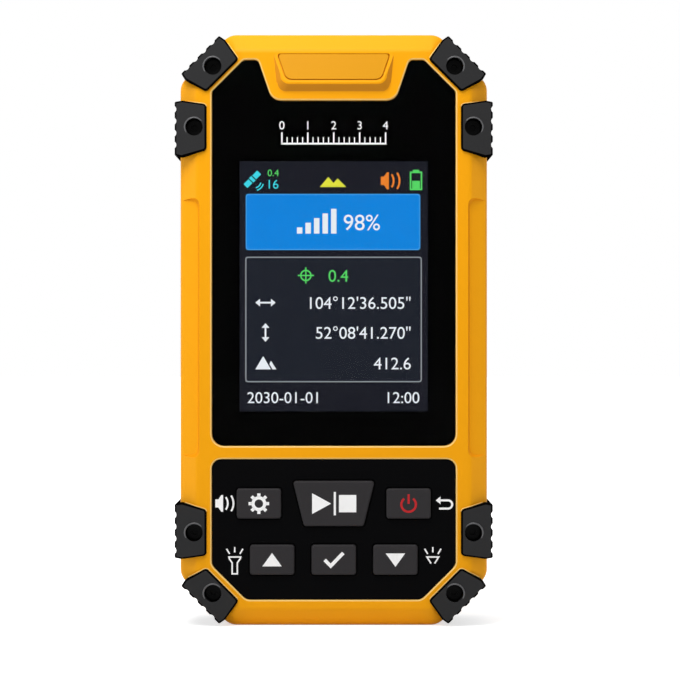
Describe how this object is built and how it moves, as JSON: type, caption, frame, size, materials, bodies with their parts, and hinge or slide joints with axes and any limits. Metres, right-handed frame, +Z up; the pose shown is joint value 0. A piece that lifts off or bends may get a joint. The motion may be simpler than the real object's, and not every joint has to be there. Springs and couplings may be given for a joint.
{
  "type": "gps land area meter",
  "caption": "Hand-held land area meter: bevelled yellow housing, notched display window with a raised visor, rubber keys, wavy rubber bumpers, torch and covered charging port.",
  "frame": {"origin": "middle of the bounding box at the bottom end, on which the meter stands", "axes": "+Z up towards the torch end, -Y out of the display, +X to the viewer's right"},
  "size_m": [0.0734, 0.0265, 0.1372],
  "materials": {
    "yellow_plastic": "fine moulded texture",
    "bumper_rubber": "matt",
    "key_rubber": "matt",
    "black_panel": "gloss",
    "clear_cover": "clear, polished",
    "screen": "smooth",
    "black_steel": "black oxide",
    "bright_steel": "satin",
    "insert_brass": "turned",
    "seal_rubber": "matt",
    "board": "solder mask",
    "chip_plastic": "moulded",
    "ceramic": "fired",
    "cell_foil": "foil",
    "white_plastic": "moulded",
    "lead_red": "smooth",
    "ribbon_amber": "film",
    "membrane": "woven",
    "torch_clear": "clear",
    "diode": "moulded"
  },
  "bodies": {
    "housing": {"front_housing": "yellow_plastic", "rear_housing": "yellow_plastic", "housing_seal": "seal_rubber", "display_window": "clear_cover", "window_mask": "black_panel", "visor_plate": "yellow_plastic", "keypad_panel": "black_panel", "keymat": "seal_rubber", "case_screws": "black_steel", "screw_inserts": "insert_brass", "lcd_panel": "screen", "lcd_cushion": "seal_rubber", "lcd_ribbon": "ribbon_amber", "main_board": "board", "board_screws": "bright_steel", "gps_antenna": "ceramic", "gps_module": "bright_steel", "processor": "chip_plastic", "battery_cell": "cell_foil", "battery_tape": "white_plastic", "battery_leads": "lead_red", "battery_plug": "white_plastic", "battery_socket": "white_plastic", "buzzer": "chip_plastic", "sound_membrane": "membrane", "charge_port": "bright_steel", "torch_led": "diode", "torch_lens": "torch_clear", "strap_bar": "bright_steel", "corner_bumper_top_left": "bumper_rubber", "corner_bumper_top_right": "bumper_rubber", "corner_bumper_bottom_left": "bumper_rubber", "corner_bumper_bottom_right": "bumper_rubber", "side_bumper_top_left": "bumper_rubber", "side_bumper_top_right": "bumper_rubber", "side_bumper_bottom_left": "bumper_rubber", "side_bumper_bottom_right": "bumper_rubber"},
    "settings_key": {"key_settings": "key_rubber"},
    "start_stop_key": {"key_start_stop": "key_rubber"},
    "power_key": {"key_power": "key_rubber"},
    "up_key": {"key_up": "key_rubber"},
    "enter_key": {"key_enter": "key_rubber"},
    "down_key": {"key_down": "key_rubber"},
    "cover": {"port_cover": "bumper_rubber"}
  },
  "joints": [
    {"name": "settings_press", "type": "slide", "parent": "housing", "child": "settings_key", "axis": [0, 1, 0], "range_m": [0, 0.0008], "stiffness_N_per_m": 600, "springref_m": -0.0003},
    {"name": "start_stop_press", "type": "slide", "parent": "housing", "child": "start_stop_key", "axis": [0, 1, 0], "range_m": [0, 0.0008], "stiffness_N_per_m": 600, "springref_m": -0.0003},
    {"name": "power_press", "type": "slide", "parent": "housing", "child": "power_key", "axis": [0, 1, 0], "range_m": [0, 0.0008], "stiffness_N_per_m": 600, "springref_m": -0.0003},
    {"name": "up_press", "type": "slide", "parent": "housing", "child": "up_key", "axis": [0, 1, 0], "range_m": [0, 0.0008], "stiffness_N_per_m": 600, "springref_m": -0.0003},
    {"name": "enter_press", "type": "slide", "parent": "housing", "child": "enter_key", "axis": [0, 1, 0], "range_m": [0, 0.0008], "stiffness_N_per_m": 600, "springref_m": -0.0003},
    {"name": "down_press", "type": "slide", "parent": "housing", "child": "down_key", "axis": [0, 1, 0], "range_m": [0, 0.0008], "stiffness_N_per_m": 600, "springref_m": -0.0003},
    {"name": "cover_swing", "type": "hinge", "parent": "housing", "child": "cover", "pos_m": [0.01115, 0, 0.13655], "axis": [-1, 0, 0], "range_deg": [0, 100]}
  ]
}
